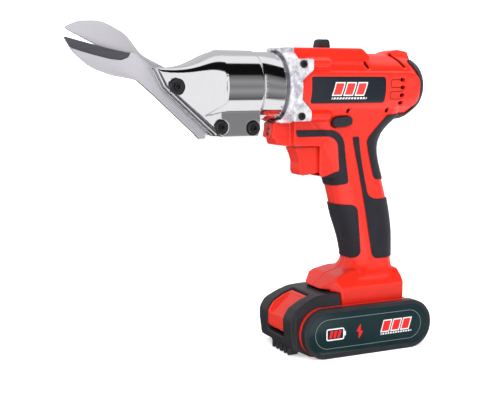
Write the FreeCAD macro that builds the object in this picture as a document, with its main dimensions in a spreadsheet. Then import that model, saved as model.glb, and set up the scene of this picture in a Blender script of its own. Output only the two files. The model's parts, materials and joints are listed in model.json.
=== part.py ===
import FreeCAD, Part
import math
import os
import re

import Sketcher

# Cordless two-blade power shear on a pistol-grip drill body. Millimetres, +Z up, blades towards -X,
# origin at the centre of the battery's flat underside.

Vector = FreeCAD.Vector
Placement = FreeCAD.Placement
Rotation = FreeCAD.Rotation

doc = FreeCAD.newDocument("power_shear")
sheet = doc.addObject("Spreadsheet::Sheet", "Sizes")

SIZES = {
    # drive line
    "axis_height": 209.0,
    "barrel_radius": 26.0,
    "barrel_front": -56.0,
    "barrel_bore": 23.2,
    "shell_wall": 2.6,
    "flange_front": -66.0,
    "flange_radius": 29.5,
    "collar_radius": 26.0,
    "collar_front": -86.0,
    "collar_rear": -68.0,
    "spigot_radius": 21.9,
    "spigot_front": -104.0,
    "shaft_radius": 6.0,
    "crank_throw": 1.8,
    "crank_radius": 2.5,
    "crank_front": -113.0,
    "crank_rear": -100.0,
    "crank_bearing_radius": 5.0,
    "running_clearance": 0.05,
    # blades
    "pivot_x": -151.5,
    "pivot_z": 209.0,
    "pivot_radius": 4.0,
    "blade_thickness": 3.2,
    "blade_gap": 0.1,
    "fork_half_gap": 8.9,
    "fork_prong": 4.0,
    "fork_end": -101.0,
    # gear train
    "tooth_module": 0.75,
    "sun_teeth": 12.0,
    "planet_teeth": 18.0,
    "ring_teeth": 48.0,
    "ring_outside": 20.1,
    "case_inside": 20.2,
    "case_outside": 22.9,
    "case_front": -62.0,
    "case_rear": -21.0,
    "carrier_radius": 16.4,
    "planet_pin_radius": 2.0,
    # motor
    "motor_radius": 18.5,
    "motor_front": -20.0,
    "motor_rear": 37.0,
    "motor_wall": 1.2,
    "rotor_radius": 14.2,
    "motor_shaft_radius": 1.6,
    # grip and controls
    "rubber_height": 0.9,
    "trigger_half_width": 8.0,
    "button_reach": 24.4,
    "panel_reach": 28.3,
    "plate_depth": 1.0,
    # battery
    "pack_length": 116.0,
    "pack_width": 76.0,
    "pack_height": 39.0,
    "cap_inside": 31.5,
    "case_half_width": 28.0,
    "cell_radius": 9.2,
    "cell_length": 65.0,
    "cell_pitch": 19.2,
    "cell_height": 13.0,
    "tongue_top": 46.5,
    "latch_half_width": 13.5,
}

for row, (alias, value) in enumerate(SIZES.items(), 1):
    sheet.set(f"A{row}", alias)
    sheet.set(f"B{row}", str(value))
    sheet.setAlias(f"B{row}", alias)
doc.recompute()

AXIS = SIZES["axis_height"]
LEFT = -1
RIGHT = 1
SIDES = (("left", LEFT), ("right", RIGHT))
pieces = []


# ---------------------------------------------------------------- helpers

def cell(value):
    """A size as an expression: a number, or words of the sheet."""
    if isinstance(value, str):
        return "(" + re.sub(r"[a-z_]{3,}", lambda word: "Sizes." + word.group(), value) + ")"
    return f"({float(value)!r})"


def number(value):
    """The same size as a plain number."""
    if isinstance(value, str):
        return float(sheet.evalExpression(cell(value)))
    return float(value)


def piece(made, node):
    """Name a finished sub-part; its label is its node."""
    made.Label = node
    pieces.append(made)
    return made


def place(made, x, y, z):
    for axis, value in zip("xyz", (x, y, z)):
        made.setExpression("Placement.Base." + axis, cell(value))


def box(name, x, y, z):
    """A block from its low and high ends along each axis."""
    made = doc.addObject("Part::Box", name)
    for side, (low, high) in zip(("Length", "Width", "Height"), (x, y, z)):
        made.setExpression(side, f"{cell(high)} - {cell(low)}")
    place(made, x[0], y[0], z[0])
    return made


TURNS = {
    "x": Rotation(Vector(0, 1, 0), 90),
    "y": Rotation(Vector(1, 0, 0), -90),
    "z": Rotation(),
}


def rod(name, along, radius, low, high, first, second):
    """A round bar along x, y or z, from low to high, centred at its two other coordinates."""
    made = doc.addObject("Part::Cylinder", name)
    made.setExpression("Radius", cell(radius))
    made.setExpression("Height", f"{cell(high)} - {cell(low)}")
    made.Placement = Placement(Vector(), TURNS[along])
    spot = {"x": (low, first, second), "y": (first, low, second), "z": (first, second, low)}[along]
    place(made, *spot)
    return made


def corner_curves(points):
    """Lines and tangent arcs of a closed outline; a point may carry a corner radius."""
    spots = [(Vector(number(p[0]), number(p[1]), 0), p[2] if len(p) > 2 else 0.0) for p in points]
    count = len(spots)
    ends = []
    for i, (spot, radius) in enumerate(spots):
        back = (spots[i - 1][0] - spot)
        ahead = (spots[(i + 1) % count][0] - spot)
        if not radius:
            ends.append((spot, None, spot))
            continue
        turn = back.getAngle(ahead)
        reach = radius / math.tan(turn / 2)
        longest = 0.49 * min(back.Length, ahead.Length)
        if reach > longest:
            radius = radius * longest / reach
            reach = longest
        back.normalize()
        ahead.normalize()
        middle = back + ahead
        middle.normalize()
        top = spot + middle * (radius / math.sin(turn / 2) - radius)
        ends.append((spot + back * reach, top, spot + ahead * reach))
    curves = []
    for i, (start, top, stop) in enumerate(ends):
        if top is not None:
            curves.append(Part.Arc(start, top, stop))
        after = ends[(i + 1) % count][0]
        if (after - stop).Length > 1e-6:
            curves.append(Part.LineSegment(stop, after))
    return curves


def plane_of(body, role):
    return next(plane for plane in body.Origin.OriginFeatures if plane.Role == role)


def attach(body, name, role, offset=0.0):
    made = body.newObject("Sketcher::SketchObject", name)
    made.AttachmentSupport = [(plane_of(body, role), "")]
    made.MapMode = "FlatFace"
    if offset:
        made.AttachmentOffset = Placement(Vector(0, 0, offset), Rotation())
    return made


def draw_polygon(sketch, points):
    """Straight outline with every corner dimensioned; corners given in words stay bound."""
    count = len(points)
    spots = [(number(x), number(y)) for x, y in points]
    for i in range(count):
        after = spots[(i + 1) % count]
        sketch.addGeometry(Part.LineSegment(Vector(*spots[i], 0), Vector(*after, 0)), False)
    for i in range(count):
        sketch.addConstraint(Sketcher.Constraint("Coincident", i, 2, (i + 1) % count, 1))
    for i in range(count):
        for kind, given, value, axis in (("DistanceX", points[i][0], spots[i][0], -2),
                                         ("DistanceY", points[i][1], spots[i][1], -1)):
            if abs(value) < 1e-9:
                sketch.addConstraint(Sketcher.Constraint("PointOnObject", i, 1, axis))
                continue
            held = sketch.addConstraint(Sketcher.Constraint(kind, -1, 1, i, 1, value))
            if isinstance(given, str):
                sketch.setExpression(f"Constraints[{held}]", cell(given))


def turned(name, profile, height="axis_height", offset=0.0):
    """A body turned about an axis along X; the profile is (x, radius) points."""
    body = doc.addObject("PartDesign::Body", name)
    sketch = attach(body, name + "_profile", "XZ_Plane")
    draw_polygon(sketch, profile)
    spin = body.newObject("PartDesign::Revolution", name + "_turned")
    spin.Profile = sketch
    spin.ReferenceAxis = (sketch, ["H_Axis"])
    spin.Angle = 360
    place(body, 0, offset, height)
    return body


def profiled(name, outline, low, high, role="XZ_Plane"):
    """A body padded from an outline: x-z outlines run along Y, y-z along X and x-y along Z."""
    body = doc.addObject("PartDesign::Body", name)
    start = -number(high) if role == "XZ_Plane" else number(low)
    sketch = attach(body, name + "_outline", role, start)
    for curve in corner_curves(outline):
        sketch.addGeometry(curve, False)
    pad = body.newObject("PartDesign::Pad", name + "_pad")
    pad.Profile = sketch
    pad.setExpression("Length", f"{cell(high)} - {cell(low)}")
    return body


def cut(name, base, *tools):
    made = doc.addObject("Part::Cut", name)
    made.Base = base
    made.Tool = tools[0] if len(tools) == 1 else fuse(name + "_tools", *tools)
    return made


def fuse(name, *parts):
    made = doc.addObject("Part::MultiFuse", name)
    made.Shapes = list(parts)
    return made


def common(name, first, second):
    made = doc.addObject("Part::Common", name)
    made.Base = first
    made.Tool = second
    return made


def formed(name, shape):
    """A piece whose shape is built by Part's own functions from sizes of the sheet."""
    made = doc.addObject("Part::Feature", name)
    made.Shape = shape
    return made


# Plain shapes for the moulded and cast pieces, which have no single sketch.

def block(x, y, z):
    return Part.makeBox(x[1] - x[0], y[1] - y[0], z[1] - z[0], Vector(x[0], y[0], z[0]))


def bar_x(radius, x, y=0.0, z=AXIS):
    return Part.makeCylinder(radius, x[1] - x[0], Vector(x[0], y, z), Vector(1, 0, 0))


def bar_y(radius, y, x, z):
    return Part.makeCylinder(radius, y[1] - y[0], Vector(x, y[0], z), Vector(0, 1, 0))


def slab(outline, y):
    """An x-z outline given a thickness along Y."""
    wire = Part.Wire([curve.toShape() for curve in corner_curves(outline)])
    face = Part.Face(wire)
    face.rotate(Vector(), Vector(1, 0, 0), 90)
    face.translate(Vector(0, y[0], 0))
    return face.extrude(Vector(0, y[1] - y[0], 0))


def beam(outline, x):
    """A y-z outline given a length along X."""
    wire = Part.Wire([curve.toShape() for curve in corner_curves(outline)])
    face = Part.Face(wire)
    face.rotate(Vector(), Vector(1, 1, 1), 120)
    face.translate(Vector(x[0], 0, 0))
    return face.extrude(Vector(x[1] - x[0], 0, 0))


def plan(outline, z):
    """An x-y outline given a height along Z."""
    wire = Part.Wire([curve.toShape() for curve in corner_curves(outline)])
    face = Part.Face(wire)
    face.translate(Vector(0, 0, z[0]))
    return face.extrude(Vector(0, 0, z[1] - z[0]))


def spun(profile):
    """A profile of (x, radius) corners turned about the drive axis."""
    wire = Part.Wire([curve.toShape() for curve in corner_curves(profile)])
    face = Part.Face(wire)
    face.rotate(Vector(), Vector(1, 0, 0), 90)
    face.translate(Vector(0, 0, AXIS))
    return face.revolve(Vector(0, 0, AXIS), Vector(1, 0, 0), 360)


def rounded_ring(low, high, half_width, radius):
    """A rounded rectangle as a wire in its own plane, for a loft."""
    corners = [(low, -half_width, radius), (high, -half_width, radius),
               (high, half_width, radius), (low, half_width, radius)]
    return Part.Wire([curve.toShape() for curve in corner_curves(corners)])


def joined(shapes):
    return shapes[0].multiFuse(shapes[1:]).removeSplitter()


# ---------------------------------------------------------------- pistol-grip shell

# height, front, rear and half-width of the grip, from the foot up to the barrel
GRIP_SECTIONS = (
    (57.0, -16.0, 40.5, 22.5),
    (63.0, -6.6, 39.4, 19.2),
    (70.0, -1.6, 38.5, 17.0),
    (78.0, -2.2, 38.3, 16.7),
    (90.0, -5.3, 38.0, 16.7),
    (105.0, -10.6, 36.0, 16.8),
    (122.0, -15.0, 32.3, 16.6),
    (138.0, -19.5, 27.7, 16.2),
    (152.0, -24.0, 23.8, 16.2),
    (165.0, -31.0, 23.4, 17.2),
    (178.0, -42.0, 32.0, 19.6),
    (188.0, -50.0, 43.0, 21.8),
    (196.0, -52.0, 46.0, 22.0),
)
GRIP_ROUNDNESS = 0.86
GUARD = [(-55.5, 192), (-55.5, 163.5, 3), (-30, 162.5, 2), (-30, 192)]
CHEEK = [(-31, 168), (-31, 138.5, 4), (-14, 137), (-14, 168)]


def grip(grow=0.0):
    """The tapering grip as a loft of rounded sections."""
    wires = []
    for height, front, rear, half_width in GRIP_SECTIONS:
        wide = half_width + grow
        wire = rounded_ring(front - grow, rear + grow, wide, wide * GRIP_ROUNDNESS)
        wire.translate(Vector(0, 0, height))
        wires.append(wire)
    return Part.makeLoft(wires, True, False)


def barrel(grow=0.0, front=SIZES["barrel_front"]):
    """The motor barrel with its domed rear end."""
    radius = SIZES["barrel_radius"] + grow
    return spun([(front, 0), (front, radius), (46 + grow, radius, 16), (58.5 + grow, 18.5 + grow, 12),
                 (65 + grow, 8 + grow, 8), (65 + grow, 0)])


def skin(grow=0.0):
    """The smooth body that the rubber is moulded onto."""
    return joined([
        barrel(grow),
        grip(grow),
        slab(GUARD, (-14 - grow, 14 + grow)),
        slab(CHEEK, (-11 - grow, 11 + grow)),
    ])


PANEL = [(-56, 200.5), (-47.5, 192.2), (51.5, 192.2, 9), (51.5, 220, 9), (-47.5, 220), (-56, 212)]
PLATE = [(-48, 196, 2), (18, 196, 2), (18, 216.4, 2), (-48, 216.4, 2)]
DECK_SECTION = [(-20.5, 225.5), (-20.5, 228, 1), (-13.5, 238.5, 1.5), (13.5, 238.5, 1.5), (20.5, 228, 1),
                (20.5, 225.5)]
DECK_SIDE = [(-56, 225.5), (-56, 238.5), (5, 238.5, 3), (11, 230, 3), (11, 225.5)]
DECK_PLAN = [(-60, -21), (11, -21, 9), (11, 21, 9), (-60, 21)]
NOSE = [(-54, 186), (-63, 184), (-70.6, 181.5, 1.5), (-71.6, 170, 1.2), (-68.6, 169.4, 1), (-67.6, 164.4, 2),
        (-54, 162.8)]
FOOT_SIDE = [(-31, 48, 1), (-30.4, 50.4, 2), (-19, 59.6, 4), (-6, 63, 4), (38, 63, 4), (39.6, 56, 4),
             (39.2, 37, 2), (-18, 37, 1), (-19.2, 48)]
FOOT_FRONT = [(-26, 36), (-26, 51, 3), (-17.5, 63, 4), (17.5, 63, 4), (26, 51, 3), (26, 36)]
FOOT_PLAN = [(-31, -12, 8), (-17.5, -27, 4), (40, -27, 4), (40, 27, 4), (-17.5, 27, 4), (-31, 12, 8)]
BUMP = [(29, 228), (31.5, 236, 3), (41, 238, 4), (50, 236.4, 3), (53.5, 228)]
PANEL_RISE = SIZES["panel_reach"] - SIZES["barrel_radius"]
EAR_PLATE = [(-62, 229.5), (-45.2, 229.5, 1.5), (-45.2, 221.5, 1.5), (-56.3, 212, 2), (-56.3, 201, 2),
             (-46.8, 190.6, 1.5), (-46.8, 183, 2), (-62, 183)]
EAR_REACH = (14.0, 26.2)
BOSS_RADIUS = 4.4

outer = joined([
    skin(),
    barrel(PANEL_RISE).common(slab(PANEL, (-40, 40))),
    beam(DECK_SECTION, (-60, 20)).common(slab(DECK_SIDE, (-30, 30))).common(plan(DECK_PLAN, (220, 240))),
    slab(NOSE, (-8.5, 8.5)),
    slab(FOOT_SIDE, (-27, 27)).common(beam(FOOT_FRONT, (-40, 50))).common(plan(FOOT_PLAN, (30, 80))),
    slab(BUMP, (-9, 9)),
] + [
    bar_x(BOSS_RADIUS, (-50, -31), side * 20.2, height).fuse(
        Part.makeSphere(BOSS_RADIUS, Vector(-31, side * 20.2, height)))
    for side in (LEFT, RIGHT) for height in (225.5, 187.0)
])

# What the shell has to make room for.
wall = SIZES["shell_wall"]
inner_grip = grip(-wall).common(block((-60, 60), (-30, 30), (60, 196)))
inner_barrel = barrel(-wall, -50.0).common(bar_x(SIZES["barrel_bore"], (-60, 80)))
trigger_room = slab([(-32, 162.9), (-32, 139.6), (-11, 139.6), (-11, 162.9)], (-8.5, 8.5))
guard_room = block((-53, -28), (-11.4, 11.4), (166, 192))
nose_room = slab([(-52, 183), (-61, 181.5), (-68, 179.3), (-69, 171.6), (-64.6, 170.9), (-63, 166.5),
                  (-52, 166.5)], (-6.2, 6.2))
lamp_hole = bar_x(2.8, (-80, -64), 0, 174.5)
foot_room = slab([(-27, 49), (-26.4, 50.6), (-17.4, 57), (-7, 60), (36, 60), (36.6, 49)], (-15.5, 15.5))
rail_channel = block((-40, 36.2), (-15, 15), (30, 42)).fuse(block((-40, 36.2), (-18, 18), (41.2, 49.5)))
selector_room = block((-61, -17), (-5, 5), (226, 236.9)).fuse(block((-36, -20), (-3.4, 3.4), (230, 240)))
cavity = joined([inner_grip, inner_barrel, bar_x(SIZES["barrel_bore"], (-60, 42)), trigger_room, guard_room,
                 nose_room, lamp_hole, foot_room, rail_channel, selector_room])

BUTTON = [(-26.4, 177.6, 4), (-9.6, 178.8, 4), (-9.6, 186.2, 4), (-26.4, 185.0, 4)]


def grown(outline, by, centre):
    """The outline pushed out from its centre by about the given amount."""
    out = []
    for x, z, radius in outline:
        out.append((x + math.copysign(by, x - centre[0]), z + math.copysign(by, z - centre[1]), radius + by))
    return out


button_hole = slab(grown(BUTTON, 0.35, (-18, 182)), (-40, 40))
ear_rooms = [slab(EAR_PLATE, sorted((side * EAR_REACH[0], side * (EAR_REACH[1] + 5)))) for side in (LEFT, RIGHT)]
rear_vents = [block((31.5, 36), (-40, 40), (height - 1.4, height + 1.4)) for height in (214, 208, 202, 196)]
NOTCH = ((-2.2, 188.4), (0.4, 191.9), (2.6, 191.9), (1.2, 188.4))
under_vents = [slab([(spot + x, z) for x, z in NOTCH], sorted((side * 17, side * 40)))
               for side in (LEFT, RIGHT) for spot in (-13.0, 22.5)]
slant_vents = []
for x, z, reach in ((4.5, 225.0, 3.8), (36.5, 228.5, 7.0)):
    slot = block((-1.1, 1.1), (-40, 40), (-reach, reach))
    slot.rotate(Vector(), Vector(0, 1, 0), -33)
    slot.translate(Vector(x, 0, z))
    slant_vents.append(slot)
plate_floor = SIZES["panel_reach"] - SIZES["plate_depth"]
plate_rooms = [slab(PLATE, (-40, 40)).cut(bar_x(plate_floor, (-60, 40)))]

# Screw posts join the halves: x, z and the shell's surface on the right.
SCREW_SPOTS = ((16.0, 150.0, 15.0), (28.0, 86.0, 15.5), (5.0, 89.0, 15.3), (50.0, 221.0, 17.0),
               (50.0, 197.0, 17.0), (-43.0, 174.5, 13.0))
SCREW_HEAD = 2.9
SCREW_SHANK = 1.4
posts = [bar_y(3.6, (-reach + 2, reach - 1), x, z) for x, z, reach in SCREW_SPOTS]
screw_rooms = [bar_y(SCREW_HEAD + 0.1, (reach - 3.5, 40), x, z).fuse(bar_y(SCREW_SHANK, (-7, reach), x, z))
               for x, z, reach in SCREW_SPOTS]

shell = outer.cut([cavity, button_hole] + ear_rooms + rear_vents + under_vents + slant_vents
                  + plate_rooms)
shell = shell.multiFuse([post.common(outer) for post in posts]).cut(screw_rooms)
for name, side in SIDES:
    half = shell.common(block((-100, 100), sorted((0, side * 60)), (0, 260)))
    solids = sorted(half.Solids, key=lambda solid: solid.Volume)
    piece(formed(name + "_housing", solids[-1]), name + "_housing")

# ---------------------------------------------------------------- rubber on the grip

TRIGGER_STRIPE = [(-54.5, 175.8, 0.8), (-14.6, 175.4, 15), (-7.8, 133, 2.5), (-24, 129.3, 3), (-40, 129.3),
                  (-40, 138.6), (-26.4, 138.7, 3), (-15, 142.8, 2), (-19.6, 170.4, 10), (-52.8, 170.5, 0.8)]
FRONT_PAD = [(-40, 116.5), (-0.2, 115.6, 6), (5.6, 71.2, 6), (-40, 74)]
REAR_PAD = [(-6, 169.7, 0.8), (-0.2, 169.7, 0.8), (3.9, 149, 20), (10.2, 119.8, 9), (60, 119), (60, 71),
            (15, 71, 6), (4.1, 127.5, 10), (0.2, 146, 10)]
BACK_STRIP = [(80, 230), (42.2, 230, 2), (51.8, 219.5, 6), (55, 209, 12), (53, 195, 8), (44.5, 187.3, 4),
              (23.5, 186.6, 3), (7, 167, 7), (15.4, 135, 5), (60, 134), (60, 150), (80, 170)]
STRIPES = (("trigger_stripe", TRIGGER_STRIPE), ("front_pad", FRONT_PAD), ("rear_pad", REAR_PAD),
           ("back_strip", BACK_STRIP))
cover = skin(SIZES["rubber_height"]).cut([outer])
for name, side in SIDES:
    reach = sorted((0, side * 40))
    for stripe, outline in STRIPES:
        shape = cover.common(slab(outline, reach)).cut([room for room in screw_rooms])
        solids = sorted(shape.Solids, key=lambda solid: solid.Volume)
        node = f"{name}_{stripe}"
        piece(formed(node, solids[-1]), node)

# ---------------------------------------------------------------- plates, screws and controls

for name, side in SIDES:
    plate = profiled(name + "_plate_outline", PLATE, *(("-40", "0") if side < 0 else ("0", "40")))
    skin_tube = turned(name + "_plate_tube", [(-60, "panel_reach - plate_depth"),
                                              (-60, "panel_reach - plate_depth + 0.7"),
                                              (40, "panel_reach - plate_depth + 0.7"),
                                              (40, "panel_reach - plate_depth")])
    piece(common(name + "_plate", plate, skin_tube), name + "_nameplate")

screws = []
for i, (x, z, reach) in enumerate(SCREW_SPOTS):
    head = rod(f"screw_head_{i}", "y", SCREW_HEAD, reach - 3.5, reach - 1.6, x, z)
    shank = rod(f"screw_shank_{i}", "y", SCREW_SHANK, -7, reach - 3.5, x, z)
    socket = rod(f"screw_socket_{i}", "y", 1.2, reach - 2.6, reach, x, z)
    screws.append(cut(f"screw_{i}", fuse(f"screw_body_{i}", head, shank), socket))
piece(fuse("screw_set", *screws), "housing_screws")

trigger_outline = [(-52, 162.3, 1), (-49.3, 157, 6), (-47.3, 151, 8), (-47.6, 145, 6), (-46.6, 139.8, 3.2),
                   (-40.5, 140.2, 2), (-31, 141.6), (-31, 142), (-20, 142), (-20, 160), (-31, 162.1)]
piece(profiled("trigger_body", trigger_outline, "-trigger_half_width", "trigger_half_width"), "trigger")

piece(profiled("button_body", BUTTON, "-button_reach", "button_reach"), "reverse_button")

knob = profiled("knob_body", [(-29.6, 238.8), (-28.8, 245, 2), (-19.8, 245, 2), (-19, 238.8)], -4.8, 4.8)
knob_stem = box("knob_stem", (-26, -22), (-2.8, 2.8), (233.8, 239.5))
piece(fuse("knob", knob, knob_stem), "speed_knob")
fork_bar = box("fork_bar", (-53, -22), (-4, 4), (232.3, 233.8))
fork_lug = box("fork_lug", (-53, -50), (-4, 4), (228.4, 232.3))
piece(fuse("fork", fork_bar, fork_lug), "selector_fork")

piece(box("switch_box", (-11, 9), (-8.8, 8.8), (141, 166)), "switch_module")
lamp = turned("lamp_body", [(-70.2, 0), (-70.2, 1.6), (-69.2, 2.5), (-66, 2.5), (-66, 3.2), (-65, 3.2), (-65, 0)],
              174.5)
piece(lamp, "led_lamp")

# ---------------------------------------------------------------- gearbox flange and collar

flange_ring = turned("flange_ring", [("flange_front", 27.0), ("flange_front", "flange_radius - 1"),
                                     ("flange_front + 1", "flange_radius"),
                                     ("barrel_front", "flange_radius"), ("barrel_front", "case_outside"),
                                     ("flange_front + 4", "case_outside"), ("flange_front + 4", 27.0)])
flange_parts = [flange_ring]
for name, side in SIDES:
    ears = profiled(name + "_ears", EAR_PLATE, *sorted((side * EAR_REACH[0], side * EAR_REACH[1])))
    bore = rod(name + "_ear_bore", "x", "barrel_bore", -63, -40, 0, "axis_height")
    flange_parts.append(cut(name + "_ear_cut", ears, bore))
flange_top = box("flange_top", (-65.5, -56), (-14, 14), (231, 238.4))
flange_foot = box("flange_foot", (-68.5, -60), (-13, 13), (181.6, 184))
flange_bore = rod("flange_bore", "x", "case_outside", -70, -55, 0, "axis_height")
flange_mouth = rod("flange_mouth", "x", 27.0, -70, "flange_front + 4", 0, "axis_height")
flange_trim = cut("flange_trim", fuse("flange_trims", flange_top, flange_foot), flange_bore, flange_mouth)
nose_clearance = formed("nose_clearance", outer.common(block((-80, -50), (-12, 12), (150, 190))))
fork_slot = box("fork_slot", (-59.5, -55), (-4.5, 4.5), (226, 234.4))
flange_body = cut("flange", fuse("flange_sum", *flange_parts, flange_trim), nose_clearance, fork_slot)
EAR_SCREWS = ((-54.5, 225.6), (-56.0, 186.8))
ear_screws = []
ear_holes = []
for name, side in SIDES:
    for i, (x, z) in enumerate(EAR_SCREWS):
        face = side * EAR_REACH[1]
        head_low, head_high = sorted((face, face + side * 1.8))
        low, high = sorted((side * (EAR_REACH[1] - 7), face))
        head = rod(f"{name}_ear_head_{i}", "y", 2.9, head_low, head_high, x, z)
        shank = rod(f"{name}_ear_shank_{i}", "y", 1.5, low, high, x, z)
        recess = rod(f"{name}_ear_socket_{i}", "y", 1.3, *sorted((face + side * 0.7, face + side * 3)), x, z)
        ear_screws.append(cut(f"{name}_ear_screw_{i}", fuse(f"{name}_ear_sum_{i}", head, shank), recess))
        ear_holes.append(rod(f"{name}_ear_hole_{i}", "y", 1.5, low, high, x, z))
piece(cut("flange_drilled", flange_body, *ear_holes), "gearbox_flange")
piece(fuse("ear_screw_set", *ear_screws), "flange_screws")

collar_profile = [("spigot_front", 17.0), ("spigot_front", "spigot_radius"), ("collar_front", "spigot_radius"),
                  ("collar_front", "collar_radius - 0.6"), ("collar_front + 0.6", "collar_radius"),
                  ("collar_rear", "collar_radius"), ("collar_rear", "case_outside - 0.1"),
                  ("flange_front + 4", "case_outside - 0.1"), ("flange_front + 4", 19.0), (-74, 19.0), (-74, 12.0),
                  (-84, 12.0), (-84, 17.0)]
piece(turned("collar_body", collar_profile), "gearbox_collar")
piece(turned("bearing_body", [(-84, "shaft_radius + running_clearance"), (-84, 12.0), (-76, 12.0),
                              (-76, "shaft_radius + running_clearance")]), "output_bearing")

# ---------------------------------------------------------------- shear head castings

# position along X, bottom, top, half-width and corner radius of the cast nose
NOSE_SECTIONS = (
    (-112.0, 183.2, 234.8, 26.2, 25.2),
    (-120.0, 182.0, 234.0, 24.0, 20.0),
    (-127.0, 181.0, 230.8, 21.2, 14.5),
    (-135.0, 180.0, 226.8, 18.8, 10.0),
    (-143.0, 179.0, 224.2, 17.0, 7.5),
    (-152.0, 177.0, 223.0, 15.6, 6.0),
    (-162.0, 175.0, 222.7, 14.4, 4.5),
    (-174.0, 173.0, 222.6, 13.2, 4.0),
)
HEAD_FACE = [(-167.6, 240), (-167.4, 221.5), (-160.5, 207.6), (-144.6, 193.4), (-129.1, 179.6), (-121, 172.6),
             (-86, 172.6), (-86, 240)]
EDGE_STEPS = (((-34, -11.2), 3.2), ((-11.2, -7.6), 1.5), ((7.6, 11.2), 1.5), ((11.2, 34), 3.2))
EAR_FACE = 20.5
EAR = [(-172, 215), (-150, 165), (-89, 165), (-89, 172.6), (-87.2, 177, 2), (-87.2, 200), (-125, 215)]
EAR_PLAN = [(-176, -13), (-118.5, -EAR_FACE, 6), (-87, -EAR_FACE), (-87, EAR_FACE), (-118.5, EAR_FACE, 6), (-176, 13)]

nose_wires = []
for x, bottom, top, half_width, radius in NOSE_SECTIONS:
    wire = rounded_ring(bottom, top, half_width, radius)
    wire.rotate(Vector(), Vector(0, 1, 0), -90)
    wire.translate(Vector(x, 0, 0))
    nose_wires.append(wire)
head_outer = joined([
    spun([(-116.5, 0), (-116.5, 26.4), (-115.9, 27), (-87.2, 27), (-86.2, 26), (-86.2, 0)]),
    Part.makeLoft(nose_wires, True, False),
    slab(EAR, (-30, 30)).common(plan(EAR_PLAN, (160, 220))),
]).common(slab(HEAD_FACE, (-40, 40)))
edge_cuts = []
for reach, step in EDGE_STEPS:
    front = slab([(-180, 150), (-180, 219)] + [(x, z) for x, z in HEAD_FACE[1:6]] + [(-121, 150)], reach)
    front.translate(Vector(step * 0.75, 0, step * 0.66))
    edge_cuts.append(front)
thick = SIZES["blade_thickness"] + SIZES["blade_gap"]
BLADE_ROOM = [(-175, 260), (-175, 165), (-113, 165), (-113, 205), (-134, 216), (-146, 219), (-146, 260)]
TAIL_ROOM = [(-146, 190), (-112, 186), (-112, 231), (-130, 225), (-146, 220.5)]
pivot_x = SIZES["pivot_x"]
pivot_z = SIZES["pivot_z"]
head_cavity = joined([
    bar_x(SIZES["spigot_radius"], (-112, -80)),
    slab(BLADE_ROOM, (-thick, thick + 0.3)),
    slab(TAIL_ROOM, (-thick, thick + 1.2)),
])
CLAMP_SPOTS = ((-118.8, 179.6), (-93.0, 178.6))
CLAMP_REACH = 20.0
PIVOT_REACH = 14.6
bolt_rooms = [bar_y(2.6, (-CLAMP_REACH, 12), x, z) for x, z in CLAMP_SPOTS]
bolt_rooms += [bar_y(5.3, (-CLAMP_REACH - 5, -CLAMP_REACH + 1), x, z) for x, z in CLAMP_SPOTS]
bolt_rooms.append(bar_y(SIZES["pivot_radius"], (-40, 40), pivot_x, pivot_z))
bolt_rooms += [bar_y(5.9, (-30, -PIVOT_REACH), pivot_x, pivot_z), bar_y(7.5, (PIVOT_REACH, 30), pivot_x, pivot_z)]
head_shape = head_outer.cut([head_cavity] + edge_cuts + bolt_rooms)
for name, side in SIDES:
    half = head_shape.common(block((-180, -60), sorted((0, side * 60)), (150, 260)))
    solids = sorted(half.Solids, key=lambda solid: solid.Volume)
    piece(formed(name + "_head", solids[-1]), name + "_head_casting")

bolts = []
for i, (x, z) in enumerate(CLAMP_SPOTS):
    head = rod(f"clamp_head_{i}", "y", 4.9, -CLAMP_REACH - 2.4, -CLAMP_REACH + 1, x, z)
    shank = rod(f"clamp_shank_{i}", "y", 2.6, -CLAMP_REACH, 12, x, z)
    socket = rod(f"clamp_socket_{i}", "y", 2.3, -CLAMP_REACH - 6, -CLAMP_REACH - 0.6, x, z)
    bolts.append(cut(f"clamp_bolt_{i}", fuse(f"clamp_sum_{i}", head, shank), socket))
piece(fuse("clamp_bolt_set", *bolts), "clamp_bolts")
pivot_head = rod("pivot_head", "y", 5.4, -PIVOT_REACH - 3.4, -PIVOT_REACH, "pivot_x", "pivot_z")
pivot_socket = rod("pivot_socket", "y", 2.5, -PIVOT_REACH - 5, -PIVOT_REACH - 1.6, "pivot_x", "pivot_z")
pivot_shank = rod("pivot_shank", "y", "pivot_radius", -PIVOT_REACH, PIVOT_REACH + 5.5, "pivot_x", "pivot_z")
piece(cut("pivot", fuse("pivot_sum", pivot_head, pivot_shank), pivot_socket), "pivot_bolt")
HEX = [(pivot_x + 6.6 * math.cos(math.radians(60 * i)), pivot_z + 6.6 * math.sin(math.radians(60 * i)))
       for i in range(6)]
nut_hole = rod("nut_hole", "y", "pivot_radius", PIVOT_REACH - 1, PIVOT_REACH + 6, "pivot_x", "pivot_z")
piece(cut("nut", profiled("nut_body", HEX, PIVOT_REACH, PIVOT_REACH + 4.5), nut_hole), "pivot_nut")

# ---------------------------------------------------------------- blades

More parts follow.
